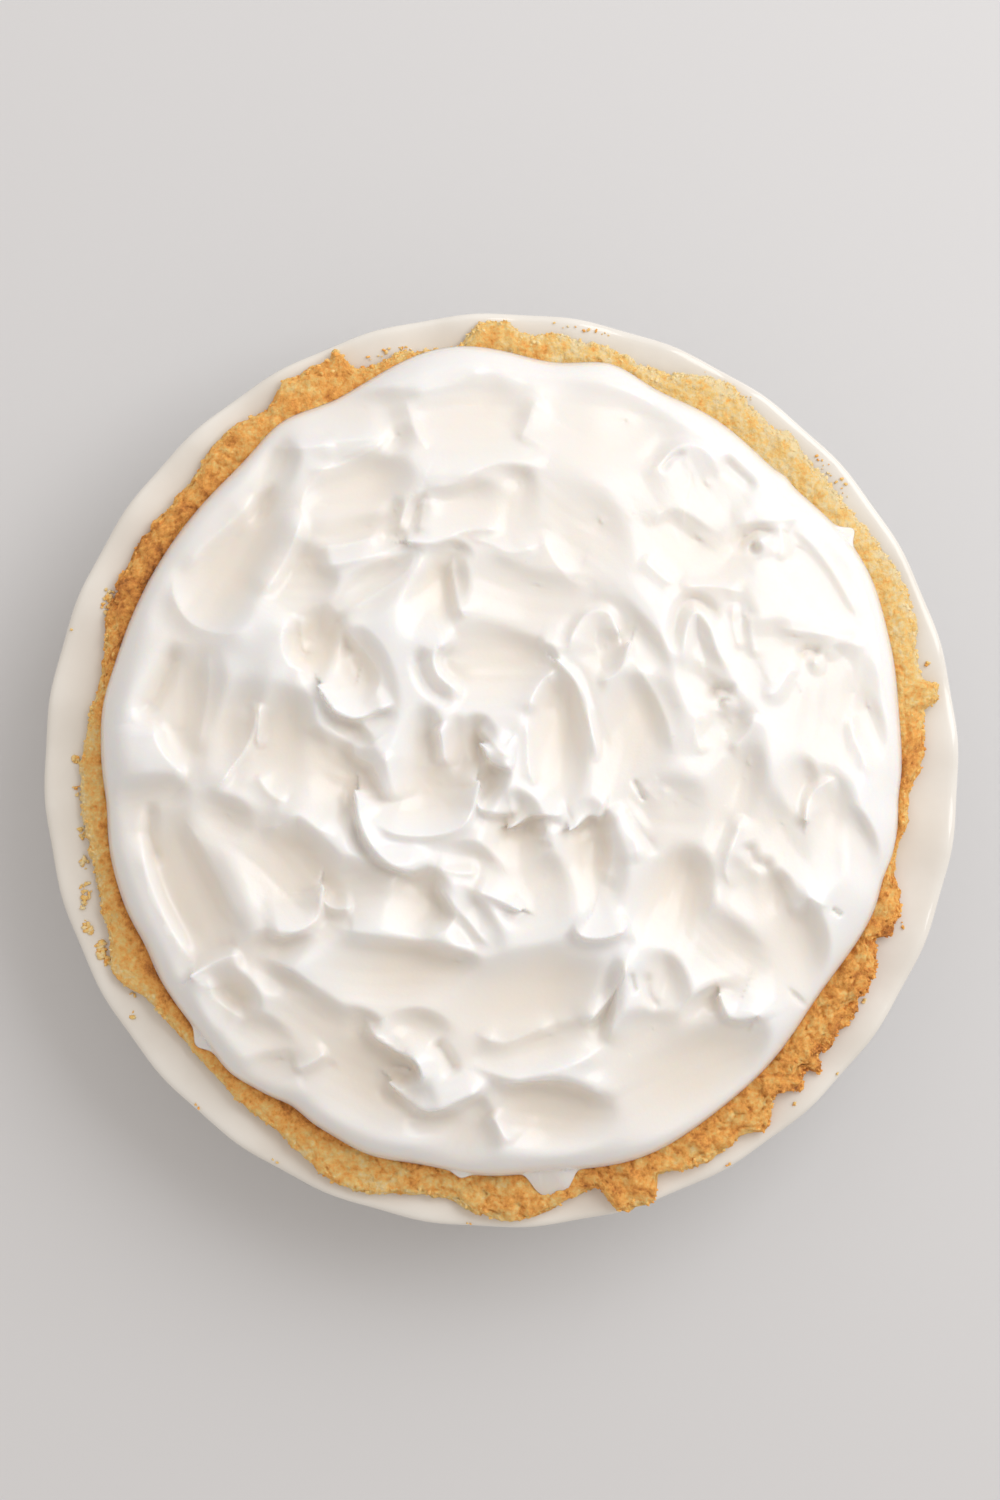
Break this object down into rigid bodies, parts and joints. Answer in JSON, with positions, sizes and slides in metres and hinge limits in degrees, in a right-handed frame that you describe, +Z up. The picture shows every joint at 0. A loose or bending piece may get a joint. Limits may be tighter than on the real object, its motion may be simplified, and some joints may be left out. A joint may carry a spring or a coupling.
{
  "type": "coconut meringue pie",
  "caption": "Round pie with a browned crust and a spooned white meringue top, whole, in its own ruffled white ceramic dish.",
  "frame": {"origin": "middle of the dish's outline, at the surface that its foot stands on", "axes": "+Z up, from the foot to the meringue; +Y and +X level, the meringue's drip over the crust is near -Y"},
  "size_m": [0.2694, 0.2694, 0.0752],
  "materials": {
    "white_glaze": "smooth glossy off-white glaze",
    "baked_crust": "baked shortcrust, straw to golden brown, crumbly and matt",
    "whipped_meringue": "soft whipped white meringue, smooth with a faint sheen"
  },
  "bodies": {
    "root": {"pie_dish": "white_glaze", "pie_crust": "baked_crust", "meringue": "whipped_meringue"}
  },
  "joints": []
}
